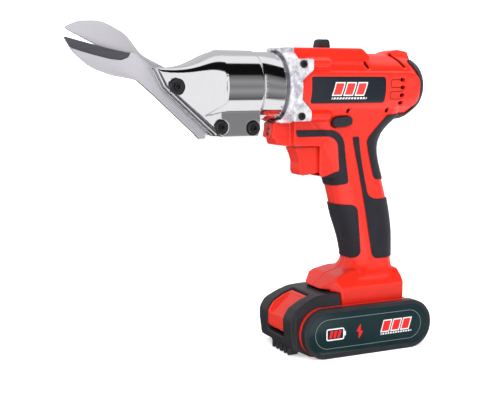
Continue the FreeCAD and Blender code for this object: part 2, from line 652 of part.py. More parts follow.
LOWER_BLADE = [(-229, 243.8, 0.6), (-223, 233.4, 30), (-210, 222.4, 30), (-195, 217, 25), (-177, 213.8, 8),
               (-164, 202.6), (-148, 187.8), (-128.8, 170.4, 1.2), (-124.6, 170.8, 1.2), (-124, 178, 1),
               (-125, 200, 3), (-134, 214, 6),
               (-142, 220.5, 4), (-158, 221.3, 4), (-166, 223.5, 4), (-172.5, 229, 6), (-178, 233, 2), (-184, 233.2, 6),
               (-196, 235.7, 60), (-210, 239, 60)]
UPPER_BLADE = [(-226.8, 250.6, 1), (-217.5, 254.8, 14), (-201, 255.4, 26), (-183.5, 246.2, 22), (-172.5, 231.8, 22),
               (-155, 223.2, 12), (-148, 219.5, 8), (-132, 216.6, 6), (-117, 220.1, 3),
               ("fork_end", "pivot_z - crank_throw + fork_half_gap + fork_prong", 1.5),
               ("fork_end", "pivot_z - crank_throw + fork_half_gap", 1),
               (-115, "pivot_z - crank_throw + fork_half_gap", 3),
               (-115, "pivot_z - crank_throw - fork_half_gap", 3),
               ("fork_end", "pivot_z - crank_throw - fork_half_gap", 1),
               ("fork_end", "pivot_z - crank_throw - fork_half_gap - fork_prong", 1.5),
               (-117, 194.3, 3), (-135, 200, 8), (-152, 196.3, 8), (-163, 203, 6), (-171.5, 222, 6),
               (-177, 232.6, 4), (-188, 233.6, 20), (-203, 237.2, 40), (-225.5, 248.6, 0.6)]
lower_plate = profiled("lower_plate", LOWER_BLADE, "-blade_gap - blade_thickness", "-blade_gap")
lower_hole = rod("lower_hole", "y", "pivot_radius", -10, 10, "pivot_x", "pivot_z")
bevel_tool = doc.addObject("Part::Feature", "bevel_tool")
bevel_tool.Shape = slab([(-232, 243), (-224, 235.6, 10), (-210, 231.6, 20), (-196, 228.3, 20), (-188, 227.6, 3),
                         (-182.5, 229.8, 3), (-180, 236), (-196, 241), (-230, 250)], (-6, -2.3))
piece(cut("lower_cut", lower_plate, lower_hole, bevel_tool), "lower_blade")
upper_plate = profiled("upper_plate", UPPER_BLADE, "blade_gap", "blade_gap + blade_thickness")
upper_hole = rod("upper_hole", "y", "pivot_radius + running_clearance", -10, 10, "pivot_x", "pivot_z")
piece(cut("upper_cut", upper_plate, upper_hole), "upper_blade")

# ---------------------------------------------------------------- eccentric drive

shaft_body = turned("shaft_body", [(-100, 0), (-100, "shaft_radius + 2"), (-97, "shaft_radius + 2"),
                                   (-97, "shaft_radius"), (-66, "shaft_radius"), (-66, 9), (-62, 9), (-62, 0)])
crank = rod("crank", "x", "crank_radius", "crank_front", "crank_rear", 0, "axis_height - crank_throw")
piece(fuse("shaft", shaft_body, crank), "eccentric_shaft")
race = rod("race", "x", "crank_bearing_radius", "crank_front + 1", "crank_rear - 2", 0, "axis_height - crank_throw")
race_hole = rod("race_hole", "x", "crank_radius", "crank_front", "crank_rear", 0, "axis_height - crank_throw")
piece(cut("race_cut", race, race_hole), "eccentric_bearing")

# ---------------------------------------------------------------- gears

MODULE = SIZES["tooth_module"]
PRESSURE = math.radians(25)
BACKLASH = 0.14
TOOTH_TIP = 0.80
TOOTH_ROOT = 1.15


def involute(angle):
    return math.tan(angle) - angle


def tooth_ring(teeth, tip, root, slack, turn=0.0):
    """The closed outline of a gear with flat-faced involute flanks."""
    pitch = teeth * MODULE / 2
    base = pitch * math.cos(PRESSURE)
    corners = []
    for i in range(int(teeth)):
        middle = 2 * math.pi * i / teeth + turn
        flank = []
        for part in (0.0, 0.35, 0.7, 1.0):
            radius = pitch - root + part * (tip + root)
            slope = math.acos(min(1.0, base / radius))
            half = math.pi / (2 * teeth) + involute(PRESSURE) - involute(slope) - slack / (2 * pitch)
            flank.append((radius, half))
        corners += [(radius, middle - half) for radius, half in flank]
        corners += [(radius, middle + half) for radius, half in reversed(flank)]
    return [Vector(radius * math.cos(angle), radius * math.sin(angle), 0) for radius, angle in corners]


def toothed(outline, x):
    """The outline as a prism about the drive axis, from x[0] to x[1]."""
    made = Part.Face(Part.makePolygon(outline + outline[:1])).extrude(Vector(0, 0, x[1] - x[0]))
    made.rotate(Vector(), Vector(0, 1, 0), 90)
    made.translate(Vector(x[0], 0, AXIS))
    return made


def outside_gear(teeth, x, turn=0.0):
    return toothed(tooth_ring(teeth, TOOTH_TIP * MODULE, TOOTH_ROOT * MODULE, BACKLASH, turn), x)


def ring_gear(x):
    teeth = SIZES["ring_teeth"]
    spaces = tooth_ring(teeth, TOOTH_ROOT * MODULE, TOOTH_TIP * MODULE, -BACKLASH, math.pi / teeth)
    return bar_x(SIZES["ring_outside"], x).cut(toothed(spaces, (x[0] - 1, x[1] + 1)))


ORBIT = (SIZES["sun_teeth"] + SIZES["planet_teeth"]) * MODULE / 2
PLANETS = (0, 120, 240)
PINION = (-35.5, -19.0)
STAGES = (("first", (-34.5, -28.0), (-40.0, -36.0)), ("second", (-54.0, -47.0), (-61.5, -56.0)))


def about_axis(shape, degrees):
    turned_shape = shape.copy()
    turned_shape.rotate(Vector(0, 0, AXIS), Vector(1, 0, 0), degrees)
    return turned_shape


pin_radius = SIZES["planet_pin_radius"]
for stage, width, plate in STAGES:
    gear = outside_gear(SIZES["planet_teeth"], width, math.pi / SIZES["planet_teeth"])
    gear = gear.cut(bar_x(pin_radius + SIZES["running_clearance"], (width[0] - 1, width[1] + 1)))
    gear.translate(Vector(0, 0, -ORBIT))
    for i, degrees in enumerate(PLANETS, 1):
        node = f"{stage}_planet_{i}"
        piece(formed(node, about_axis(gear, degrees)), node)
    pins = [about_axis(bar_x(pin_radius, (plate[1], width[1]), 0, AXIS - ORBIT), degrees) for degrees in PLANETS]
    disc = bar_x(SIZES["carrier_radius"], plate)
    parts = [disc] + pins
    if stage == "first":
        parts.append(outside_gear(SIZES["sun_teeth"], (-54.5, plate[0])))
    shape = joined(parts)
    if stage == "first":
        shape = shape.cut(bar_x(1.2, (-60, -38)))
    piece(formed(stage + "_carrier", shape), stage + "_carrier")
piece(formed("first_ring", ring_gear((-35.2, -27.5))), "first_ring_gear")
second_ring = ring_gear((-55.0, -46.0)).cut(
    bar_x(SIZES["ring_outside"] + 1, (-53.1, -49.9)).cut(bar_x(19.3, (-53.1, -49.9))))
piece(formed("second_ring", second_ring), "second_ring_gear")
pinion = outside_gear(SIZES["sun_teeth"], PINION).cut(bar_x(SIZES["motor_shaft_radius"], (-40, -10)))
piece(formed("pinion", pinion), "motor_pinion")

case_profile = [("case_front", "case_inside"), ("case_front", "case_outside - 0.05"),
                ("case_rear", "case_outside - 0.05"), ("case_rear", 7.0), ("case_rear - 3", 7.0),
                ("case_rear - 3", 18.5), (-27.5, 18.5), (-27.5, 20.1), (-35.2, 20.1), (-35.2, "case_inside")]
case_body = turned("case_body", case_profile)
case_slot = box("case_slot", (-60.5, -48), (-4.6, 4.6), (226, 235))
piece(cut("case_cut", case_body, case_slot), "gearbox_case")

# ---------------------------------------------------------------- motor

can_profile = [("motor_front", 7.0), ("motor_front", "motor_radius - 1"), ("motor_front + 1", "motor_radius"),
               ("motor_rear", "motor_radius"), ("motor_rear", "motor_radius - motor_wall"),
               ("motor_front + 2", "motor_radius - motor_wall"), ("motor_front + 2", 7.0)]
piece(turned("can_body", can_profile), "motor_can")
rotor_profile = [(-35.5, 0), (-35.5, "motor_shaft_radius"), (-10, "motor_shaft_radius"), (-10, "rotor_radius"),
                 (22, "rotor_radius"), (22, 4.5), (33, 4.5), (33, "motor_shaft_radius"), (42, "motor_shaft_radius"),
                 (42, 0)]
piece(turned("rotor_body", rotor_profile), "rotor")
end_profile = [("motor_rear", "motor_shaft_radius + running_clearance"), ("motor_rear", "motor_radius - 0.3"),
               ("motor_rear + 2.5", "motor_radius - 1.3"),
               ("motor_rear + 2.5", "motor_shaft_radius + running_clearance")]
piece(turned("end_body", end_profile), "motor_end_cap")
magnet_ring = turned("magnet_ring", [(-10, 14.9), (-10, "motor_radius - motor_wall"),
                                     (24, "motor_radius - motor_wall"), (24, 14.9)])
magnet_gap = box("magnet_gap", (-12, 26), (-3, 3), (180, 240))
piece(cut("magnets", magnet_ring, magnet_gap), "motor_magnets")

# ---------------------------------------------------------------- battery pack

half_length = SIZES["pack_length"] / 2
pack_top = SIZES["pack_height"]


def stadium(inset, bottom=0.0):
    radius = pack_top / 2 - inset - 0.01
    return [(-half_length + inset, inset + bottom, radius), (half_length - inset, inset + bottom, radius),
            (half_length - inset, pack_top - inset, radius), (-half_length + inset, pack_top - inset, radius)]


CASE_SIDE = [(-47, 0, 4), (-59.5, 6.5, 3), (-60.5, 32, 3), (-50, 36.6, 2), (47, 36.6, 10), (57.2, 28, 10),
             (57.2, 9, 10), (47, 0, 8)]
HUMP_SIDE = [(-62.5, 7, 3), (-64.6, 22, 8), (-64.6, 31, 8), (-60, 38, 8), (-50, 43.6, 14), (-40, 47, 10),
             (-32, 47.6), (-19.6, 47.6), (-19.6, 30), (-40, 7)]
HUMP_FRONT = [(-27.5, 0), (-27.5, 37, 4), (-24, 48), (24, 48), (27.5, 37, 4), (27.5, 0)]
case_shape = joined([
    slab(CASE_SIDE, (-SIZES["case_half_width"], SIZES["case_half_width"])),
    slab(HUMP_SIDE, (-28, 28)).common(beam(HUMP_FRONT, (-80, 0))),
    block((-36, 35.6), (-14.4, 14.4), (34, 42)),
    block((-36, 35.6), (-17.5, 17.5), (41.9, SIZES["tongue_top"])),
])
cell_room = slab([(-50, 2.6, 6), (50, 2.6, 6), (50, 33.6, 6), (-50, 33.6, 6)], (-40, 40))
latch_room = block((-80, -52), (-13.9, 13.9), (14.5, 60)).fuse(block((-52.5, -40.8), (-13.9, 13.9), (34.9, 60)))
contact_rooms = [block((-11, 50), (y - 1.4, y + 1.4), (40, 50)) for y in (-7, 0, 7)]
case_shape = case_shape.cut([cell_room, latch_room] + contact_rooms)
ribs = [block((-61.5, -53), (-18 + 6.5 * i, -15 + 6.5 * i), (0.6, 8)) for i in range(5)]
piece(formed("battery_shell", joined([case_shape] + ribs)), "battery_case")

for name, side in SIDES:
    def span(inner, outer_reach):
        return (f"{side} * ({outer_reach})", f"{side} * ({inner})") if side < 0 else (inner, outer_reach)
    cap = profiled(name + "_cap_plate", stadium(0), *span("cap_inside", "pack_width / 2"))
    hollow = profiled(name + "_cap_hollow", stadium(3.2), *span("cap_inside - 1", "pack_width / 2 - 3"))
    face = profiled(name + "_cap_face", stadium(3.2), *span("pack_width / 2 - 0.8", "pack_width / 2 + 1"))
    piece(cut(name + "_cap", cap, hollow, face), name + "_side_cap")
    piece(profiled(name + "_label_body", stadium(3.3), *span("pack_width / 2 - 0.8", "pack_width / 2 - 0.3")),
          name + "_label")
    ring = profiled(name + "_ring_plate", stadium(0.15), *span("case_half_width", "cap_inside"))
    ring_hole = profiled(name + "_ring_hole", stadium(3.2), *span("case_half_width - 1", "cap_inside + 1"))
    piece(cut(name + "_ring", ring, ring_hole), name + "_bumper_ring")

cells = []
for i in range(5):
    cells.append(rod(f"cell_{i}", "y", "cell_radius", "-cell_length / 2", "cell_length / 2",
                     f"{i - 2} * cell_pitch", "cell_height"))
piece(fuse("cell_row", *cells), "battery_cells")
board = box("board_plate", (-40, 40), (-26, 26), (24.5, 26.1))
piece(board, "charge_board")
contacts = [box(f"contact_{i}", (-10, 12), (y - 0.5, y + 0.5), (43.2, 50)) for i, y in enumerate((-7, 0, 7))]
piece(fuse("terminals", box("terminal_body", (-12, 16), (-13, 13), (50, 57)), *contacts), "terminal_block")
LATCH = [(-41.2, 45.4, 1.2), (-50, 42.4, 12), (-59.3, 37.2, 8), (-63.8, 31, 8), (-63.8, 21, 6), (-62.6, 18, 1),
         (-57, 17.8, 1), (-57, 33, 2), (-50, 39.4, 1), (-41.2, 39.4)]
latch_body = profiled("latch_body", LATCH, "-latch_half_width", "latch_half_width")
scoop = [(-44.6, 56), (-45, 43.2, 1.5), (-53.8, 37.8, 5), (-62.2, 30.4, 6), (-80, 27), (-80, 56)]
latch_grip = profiled("latch_grip", scoop, -10.8, 10.8)
piece(cut("latch", latch_body, latch_grip), "latch_button")


# ---------------------------------------------------------------- wiring

def wire_tube(route, radius):
    """A round lead along straight runs joined by tangent arcs."""
    edges = []
    start = Vector(*route[0])
    for i in range(1, len(route) - 1):
        spot = Vector(*route[i])
        back = Vector(*route[i - 1]) - spot
        ahead = Vector(*route[i + 1]) - spot
        reach = 0.45 * min(back.Length, ahead.Length)
        turn = math.pi - back.getAngle(ahead)
        bend = reach / math.tan(turn / 2)
        back.normalize()
        ahead.normalize()
        middle = back + ahead
        middle.normalize()
        top = spot + middle * (bend / math.cos(turn / 2) - bend)
        edges.append(Part.LineSegment(start, spot + back * reach).toShape())
        edges.append(Part.Arc(spot + back * reach, top, spot + ahead * reach).toShape())
        start = spot + ahead * reach
        print(f"lead bend radius {bend:.1f}")
    edges.append(Part.LineSegment(start, Vector(*route[-1])).toShape())
    path = Part.Wire(edges)
    section = Part.Wire([Part.Circle(Vector(*route[0]), Vector(*route[1]) - Vector(*route[0]), radius).toShape()])
    tube = path.makePipeShell([section], True, False)
    print(f"lead volume ratio {tube.Volume / (math.pi * radius ** 2 * path.Length):.3f}")
    return tube


LEAD_RADIUS = 1.1
leads = []
for y in (-5.0, 5.0):
    leads.append(wire_tube([(14, y, 57), (14, y, 85), (-1, y, 125), (-1, y, 141)], LEAD_RADIUS))
    leads.append(wire_tube([(4, y, 166), (4, y, 178), (20, y, 187), (36, y, 188.1), (45, y, 193.5),
                            (45, y, 204), (39.5, y, 204)], LEAD_RADIUS))
piece(formed("lead_set", Part.makeCompound(leads)), "power_leads")

# ---------------------------------------------------------------- check and write

doc.recompute()
for made in doc.Objects:
    if "Invalid" in made.State or "Error" in made.State:
        raise RuntimeError(f"{made.Name} failed: {made.State}")
os.makedirs("parts", exist_ok=True)
for made in pieces:
    shape = made.Shape
    if shape.isNull() or not shape.isValid() or not shape.Solids:
        raise RuntimeError(f"{made.Label} has no sound solid")
    shape.exportStep(f"parts/{made.Label}.step")
    limits = shape.BoundBox
    print(f"{made.Label:22s} {len(shape.Solids)} solids {shape.Volume / 1000:8.2f} cm3  "
          f"x {limits.XMin:.1f} {limits.XMax:.1f}  y {limits.YMin:.1f} {limits.YMax:.1f}  "
          f"z {limits.ZMin:.1f} {limits.ZMax:.1f}")
print(len(pieces), "pieces")
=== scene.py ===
"""Looks of the cordless power shear: shells, rubber, castings, blades, battery and light."""
import json
import math

import bmesh
import bpy
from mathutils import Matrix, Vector


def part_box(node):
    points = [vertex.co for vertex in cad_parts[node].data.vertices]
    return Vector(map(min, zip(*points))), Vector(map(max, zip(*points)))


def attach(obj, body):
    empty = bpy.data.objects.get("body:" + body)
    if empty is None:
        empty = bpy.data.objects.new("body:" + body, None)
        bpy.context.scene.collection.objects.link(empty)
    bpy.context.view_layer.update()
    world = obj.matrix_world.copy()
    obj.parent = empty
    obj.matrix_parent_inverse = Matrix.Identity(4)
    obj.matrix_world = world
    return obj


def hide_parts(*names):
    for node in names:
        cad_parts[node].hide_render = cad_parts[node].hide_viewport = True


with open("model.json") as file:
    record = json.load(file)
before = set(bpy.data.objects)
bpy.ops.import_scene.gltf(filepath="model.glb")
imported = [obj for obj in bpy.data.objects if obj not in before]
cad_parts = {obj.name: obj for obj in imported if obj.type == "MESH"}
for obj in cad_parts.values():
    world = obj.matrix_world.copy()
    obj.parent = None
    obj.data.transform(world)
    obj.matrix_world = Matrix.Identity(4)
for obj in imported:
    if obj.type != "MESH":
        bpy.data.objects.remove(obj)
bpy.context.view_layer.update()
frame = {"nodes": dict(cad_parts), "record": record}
nodes = frame["nodes"]
BODY_OF = {node: body for body, members in frame["record"]["behaviour"]["bodies"].items()
           for node in members}
SLOT_OF = {entry["node"]: entry["material_slot"] for entry in frame["record"]["subparts"]}
MM = 0.001


# ------------------------------------------------------------------ camera

LENS = 67.3
SENSOR = 36.0
YAW = math.radians(25.38)
PITCH = math.radians(7.307)
EYE = (-0.3918, -0.6443, 0.2137)
eye = bpy.data.cameras.new("eye")
eye.lens = LENS
eye.sensor_width = SENSOR
camera = bpy.data.objects.new("camera", eye)
bpy.context.scene.collection.objects.link(camera)
camera.location = EYE
camera.rotation_euler = (math.pi / 2 - PITCH, 0, -YAW)
bpy.context.scene.camera = camera
bpy.context.scene.view_settings.view_transform = "Standard"


# ------------------------------------------------------------------ shader maths

class Socket:
    """A node output with arithmetic: an expression on it adds Math nodes."""

    def __init__(self, tree, socket):
        self.tree = tree
        self.socket = socket

    def _math(self, operation, *values):
        return self.tree.add("ShaderNodeMath", {"operation": operation}, *values)

    def __add__(self, other):
        return self._math("ADD", self, other)

    __radd__ = __add__

    def __sub__(self, other):
        return self._math("SUBTRACT", self, other)

    def __rsub__(self, other):
        return self._math("SUBTRACT", other, self)

    def __mul__(self, other):
        return self._math("MULTIPLY", self, other)

    def __truediv__(self, other):
        return self._math("DIVIDE", self, other)

    def __abs__(self):
        return self._math("ABSOLUTE", self)

    def __neg__(self):
        return self._math("MULTIPLY", self, -1.0)

    def most(self, other):
        return self._math("MAXIMUM", self, other)

    def root(self):
        return self._math("SQRT", self)

    def turn(self, other):
        """The angle of the point (other, self), in turns from -0.5 to 0.5."""
        return self._math("ARCTAN2", self, other) * (0.5 / math.pi)

    def fraction(self):
        return self._math("FRACT", self)

    def below(self, edge, blur):
        """One where the value is under the edge, with a soft step of the given blur."""
        soft = {"interpolation_type": "SMOOTHSTEP", "clamp": True}
        return self.tree.add("ShaderNodeMapRange", soft, self, edge - blur, edge + blur, 1.0, 0.0)


class Nodes:
    """A node tree being filled in."""

    def __init__(self, tree):
        self.tree = tree
        tree.nodes.clear()

    def add(self, kind, settings, *values, output=0, **named):
        """A node of the given type: its settings first, then the values or links of its inputs."""
        node = self.tree.nodes.new(kind)
        for key, value in settings.items():
            if key == "stops":
                ramp = node.color_ramp
                while len(ramp.elements) < len(value):
                    ramp.elements.new(0.5)
                for element, (place, colour) in zip(ramp.elements, value):
                    element.position = place
                    element.color = (*colour, 1)
            else:
                setattr(node, key, value)
        given = list(zip([socket for socket in node.inputs if socket.enabled], values))
        given += [(node.inputs[name.replace("_", " ")], value) for name, value in named.items()]
        for socket, value in given:
            if value is None:
                continue
            if isinstance(value, Socket):
                self.tree.links.new(value.socket, socket)
            else:
                socket.default_value = value
        outputs = [socket for socket in node.outputs if socket.enabled]
        return Socket(self, outputs[output])

    def split(self, vector):
        """The x, y and z of a vector."""
        node = self.tree.nodes.new("ShaderNodeSeparateXYZ")
        self.tree.links.new(vector.socket, node.inputs[0])
        return tuple(Socket(self, out) for out in node.outputs)


class Surface(Nodes):
    """A material and the nodes that feed its shader."""

    OBJECT_SPACE = 3
    FACTOR, FIRST, SECOND, BLENDED = 0, 6, 7, 2

    def __init__(self, name):
        self.material = bpy.data.materials.new(name)
        self.material.use_nodes = True
        super().__init__(self.material.node_tree)
        self.shader = self.tree.nodes.new("ShaderNodeBsdfPrincipled")
        output = self.tree.nodes.new("ShaderNodeOutputMaterial")
        self.tree.links.new(self.shader.outputs[0], output.inputs[0])

    def place(self):
        """Object coordinates in millimetres."""
        spot = self.add("ShaderNodeTexCoord", {}, output=self.OBJECT_SPACE)
        return self.add("ShaderNodeVectorMath", {"operation": "SCALE"}, spot, Scale=1 / MM)

    def noise(self, spot, scale, detail=3.0, rough=0.5):
        return self.add("ShaderNodeTexNoise", {}, spot, scale, detail, rough)

    def mix(self, amount, first, second):
        """The first colour turning into the second as the amount grows from 0 to 1."""
        node = self.tree.nodes.new("ShaderNodeMix")
        node.data_type = "RGBA"
        for place, value in ((self.FACTOR, amount), (self.FIRST, first), (self.SECOND, second)):
            socket = node.inputs[place]
            if isinstance(value, Socket):
                self.tree.links.new(value.socket, socket)
            else:
                socket.default_value = value if isinstance(value, float) else (*value, 1)[:4]
        return Socket(self, node.outputs[self.BLENDED])

    def bump(self, height, strength, distance):
        return self.add("ShaderNodeBump", {}, strength, distance, None, height)

    def feed(self, **inputs):
        """Links or values for the shader's main inputs."""
        names = {"colour": "Base Color", "rough": "Roughness", "metal": "Metallic",
                 "coat": "Coat Weight", "normal": "Normal", "glow": "Emission Color"}
        for key, value in inputs.items():
            socket = self.shader.inputs[names[key]]
            if isinstance(value, Socket):
                self.tree.links.new(value.socket, socket)
            elif isinstance(value, tuple):
                socket.default_value = (*value, 1)
            else:
                socket.default_value = value
        return self

    def fix(self, **inputs):
        """Plain numbers for the shader's other inputs."""
        names = {"specular": "Specular IOR Level", "coat_rough": "Coat Roughness",
                 "sheen": "Sheen Weight", "glow_strength": "Emission Strength"}
        for key, value in inputs.items():
            self.shader.inputs[names[key]].default_value = value
        return self


# ------------------------------------------------------------------ finishes

RED = (0.70, 0.021, 0.009)
RED_DEEP = (0.62, 0.015, 0.006)
GROOVE_SHADE_RED = (0.12, 0.003, 0.003)
RUBBER = (0.008, 0.008, 0.012)
RUBBER_DUSTY = (0.018, 0.018, 0.026)
BRUSHING = math.radians(24)
MARK_WHITE = (0.82, 0.80, 0.80)
MARK_RED = (0.72, 0.03, 0.025)
LEAN = 0.3


def red_plastic():
    """Glossy injection-moulded red with a soft eggshell grain and moulding marks; the engraved
    vent loops are darkened with painted shade.
    """
    made = Surface("red_plastic")
    spot = made.place()
    x, y, z = made.split(spot)
    cloud = made.noise(spot, 0.02, 2.0)
    grain = made.noise(spot, 1.6, 3.0)
    fine = made.noise(spot, 6.0, 2.0)
    wear = made.noise(spot, 0.35, 6.0, 0.7)
    scuff = made.add("ShaderNodeMapRange", {"clamp": True}, wear, 0.62, 0.80, 0.0, 1.0)
    colour = made.mix(cloud, RED, RED_DEEP)
    loops = vent_loops(x, z) * (1.0 - abs(y).below(14.0, 0.1))
    # the engraved loops are coloured dark red: painted shade in the grooves
    colour = made.mix(loops * 0.9, colour, GROOVE_SHADE_RED)
    height = grain * 0.5 + fine * 0.25 - loops * 5.0
    made.feed(colour=colour, rough=0.24 + grain * 0.10 + scuff * 0.08, coat=0.25,
              normal=made.bump(height, 0.25, 0.00009))
    return made.fix(specular=0.4, coat_rough=0.12)


def box_distance(x, z, centre, half, radius):
    """Signed distance to a rounded box in the x-z plane, in millimetres."""
    across = (abs(x - centre[0]) - (half[0] - radius)).most(0.0)
    up = (abs(z - centre[1]) - (half[1] - radius)).most(0.0)
    return (across * across + up * up).root() - radius


def vent_loops(x, z):
    """Engraved outline that joins the rear vent holes in two loops."""
    rings = []
    for height in (211.0, 202.0):
        ring = abs(box_distance(x, z, (28.5, height), (6.0, 3.0), 1.4))
        rings.append(ring.below(0.42, 0.12) * x.below(33.5, 0.2))
    return rings[0].most(rings[1])


def rubber():
    """Soft-touch overmould: fine stipple, faint dusty sheen."""
    made = Surface("soft_rubber")
    spot = made.place()
    stipple = made.add("ShaderNodeTexVoronoi", {"feature": "SMOOTH_F1"}, spot, 2.4)
    cloud = made.noise(spot, 0.08, 4.0)
    colour = made.mix(cloud, RUBBER, RUBBER_DUSTY)
    made.feed(colour=colour, rough=0.46 + cloud * 0.16, normal=made.bump(stipple, 0.35, 0.00012))
    return made.fix(specular=0.3, sheen=0.04)


def black_plastic():
    """Hard black moulding with a fine spark grain."""
    made = Surface("black_plastic")
    spot = made.place()
    grain = made.noise(spot, 3.0, 4.0)
    cloud = made.noise(spot, 0.06, 3.0)
    colour = made.mix(cloud, (0.014, 0.014, 0.017), (0.0266, 0.0266, 0.0323))
    made.feed(colour=colour, rough=0.32 + grain * 0.14, normal=made.bump(grain, 0.3, 0.0001))
    return made.fix(specular=0.32)


def chrome():
    """Bright plated casting with faint polishing haze."""
    made = Surface("bright_chrome")
    spot = made.place()
    haze = made.noise(spot, 0.09, 5.0, 0.6)
    fine = made.noise(spot, 1.2, 3.0)
    made.feed(colour=made.mix(haze, (0.88, 0.88, 0.90), (0.80, 0.80, 0.83)), metal=1.0,
              rough=0.05 + haze * 0.05, normal=made.bump(fine, 0.04, 0.00005))
    return made


def cast_aluminium():
    """Tumbled die casting: bright, pitted, mottled."""
    made = Surface("cast_aluminium")
    spot = made.place()
    mottle = made.noise(spot, 0.16, 5.0, 0.65)
    pits = made.noise(spot, 2.2, 4.0, 0.6)
    stops = [(0.38, (0.46, 0.45, 0.54)), (0.56, (0.86, 0.86, 0.88))]
    colour = made.add("ShaderNodeValToRGB", {"stops": stops}, mottle)
    made.feed(colour=colour, metal=0.5, rough=0.26 + mottle * 0.22,
              normal=made.bump(pits + mottle * 2.0, 0.35, 0.00018))
    return made


def blade_steel(name, tone, deep, gloss):
    """Ground tool steel with fine brushing along the blade."""
    made = Surface(name)
    spot = made.place()
    along = made.add("ShaderNodeMapping", {}, spot, (0, 0, 0), (0, BRUSHING, 0), (0.06, 3.0, 3.0))
    brush = made.noise(along, 1.0, 5.0, 0.7)
    cloud = made.noise(spot, 0.03, 2.0)
    colour = made.mix(brush * 0.6 + cloud * 0.4, tone, deep)
    made.feed(colour=colour, metal=0.45, rough=gloss + brush * 0.14,
              normal=made.bump(brush, 0.25, 0.00006))
    return made


def black_steel():
    """Blackened screws and bolts with an oily gleam."""
    made = Surface("blackened_steel")
    spot = made.place()
    grain = made.noise(spot, 1.8, 4.0)
    made.feed(colour=made.mix(grain, (0.016, 0.016, 0.018), (0.065, 0.065, 0.07)), metal=0.7,
              rough=0.22 + grain * 0.2, normal=made.bump(grain, 0.2, 0.00008))
    return made


def bright_steel(name, tone):
    """Turned or pressed steel: faint rings about the drive axis."""
    made = Surface(name)
    spot = made.place()
    along = made.add("ShaderNodeMapping", {}, spot, (0, 0, 0), (0, 0, 0), (4.0, 0.05, 0.05))
    rings = made.noise(along, 1.0, 3.0)
    cloud = made.noise(spot, 0.1, 4.0)
    made.feed(colour=made.mix(cloud, tone, tuple(value * 0.7 for value in tone)), metal=1.0,
              rough=0.28 + rings * 0.16, normal=made.bump(rings, 0.15, 0.00006))
    return made


def plain(name, tone, gloss):
    """Inner parts: colour with a little cloud and grain."""
    made = Surface(name)
    spot = made.place()
    cloud = made.noise(spot, 0.15, 4.0)
    grain = made.noise(spot, 2.5, 3.0)
    made.feed(colour=made.mix(cloud, tone, tuple(value * 0.6 for value in tone)),
              rough=gloss + grain * 0.15, normal=made.bump(grain, 0.2, 0.00008))
    return made


def slanted_bars(x, z, centre, half, lean, pitch, fill):
    """Leaning bars inside a box: the mask of the bars, growing by fill from 0 to 1."""
    along = x - centre[0] - (z - centre[1]) * lean
    bar = abs((along / pitch + 0.5).fraction() - 0.5).below(fill / 2, 0.03)
    inside = abs(along).below(half[0], 0.1) * abs(z - centre[1]).below(half[1], 0.1)
    return bar * inside


def nameplate():
    """Dark slate badge with three leaning bars, a white edge and an underline of dashes."""
    made = Surface("nameplate")
    spot = made.place()
    x, _, z = made.split(spot)
    grain = made.noise(spot, 3.0, 3.0)
    centre = (-14.5, 207.0)
    white = slanted_bars(x, z, centre, (15.0, 5.2), LEAN, 10.0, 0.86)
    red = slanted_bars(x, z, centre, (15.0, 4.4), LEAN, 10.0, 0.70)
    dash = slanted_bars(x, z, (-14.5, 199.9), (15.5, 0.7), LEAN, 2.6, 0.6)
    base = made.mix(grain, (0.006, 0.008, 0.014), (0.012, 0.015, 0.024))
    colour = made.mix(white.most(dash), base, MARK_WHITE)
    colour = made.mix(red, colour, MARK_RED)
    made.feed(colour=colour, rough=0.34 + grain * 0.12, coat=0.1,
              normal=made.bump(grain * 0.5 + white * 3.0, 0.25, 0.00008))
    return made.fix(specular=0.3)


def pack_label():
    """Very dark teal gloss label: thin stadium line, cell icon, bolt and leaning bars."""
    made = Surface("pack_label")
    spot = made.place()
    x, _, z = made.split(spot)
    line = abs(box_distance(x, z, (0.0, 19.5), (48.5, 11.5), 11.4)).below(0.18, 0.12)
    middle = 19.0
    cell_x = -31.0
    cell = box_distance(x, z, (cell_x, middle), (7.5, 4.2), 1.2)
    cell_edge = abs(cell).below(0.45, 0.12)
    cell_tip = box_distance(x, z, (-22.6, middle), (0.9, 1.8), 0.4).below(0.0, 0.1)
    charge = slanted_bars(x, z, (cell_x, middle), (5.6, 2.9), 0.25, 3.6, 0.66)
    up = z - middle
    leaning = x + 9.0 - up * 0.35
    half_width = (6.2 - abs(up)) * 0.33
    bolt = (abs(leaning - up.below(0.0, 0.3) * 2.4 + 1.2) - half_width).below(0.0, 0.1)
    bolt = bolt * abs(up).below(5.6, 0.1)
    bars = (25.0, 20.5)
    white = slanted_bars(x, z, bars, (14.0, 4.9), LEAN, 9.33, 0.88)
    red = slanted_bars(x, z, bars, (14.0, 4.1), LEAN, 9.33, 0.72)
    dash = slanted_bars(x, z, (25.0, 14.3), (14.5, 0.6), LEAN, 2.4, 0.6)
    cloud = made.noise(spot, 0.05, 3.0)
    colour = made.mix(cloud, (0.002, 0.012, 0.014), (0.005, 0.022, 0.026))
    colour = made.mix(line * 0.6, colour, (0.30, 0.34, 0.34))
    colour = made.mix(cell_edge.most(cell_tip).most(white).most(dash), colour, (0.80, 0.80, 0.80))
    colour = made.mix(charge.most(bolt).most(red), colour, (0.66, 0.012, 0.015))
    made.feed(colour=colour, rough=0.10 + cloud * 0.06, coat=0.35)
    return made.fix(specular=0.4, coat_rough=0.05)


def shaded_lens_glass():
    """The work lamp's clear lens, coloured dark grey: painted shade of the recess it sits in."""
    made = Surface("lamp_lens")
    spot = made.place()
    cloud = made.noise(spot, 1.0, 2.0)
    made.feed(colour=made.mix(cloud, (0.10, 0.11, 0.13), (0.22, 0.23, 0.25)),
              rough=0.06 + cloud * 0.04)
    return made


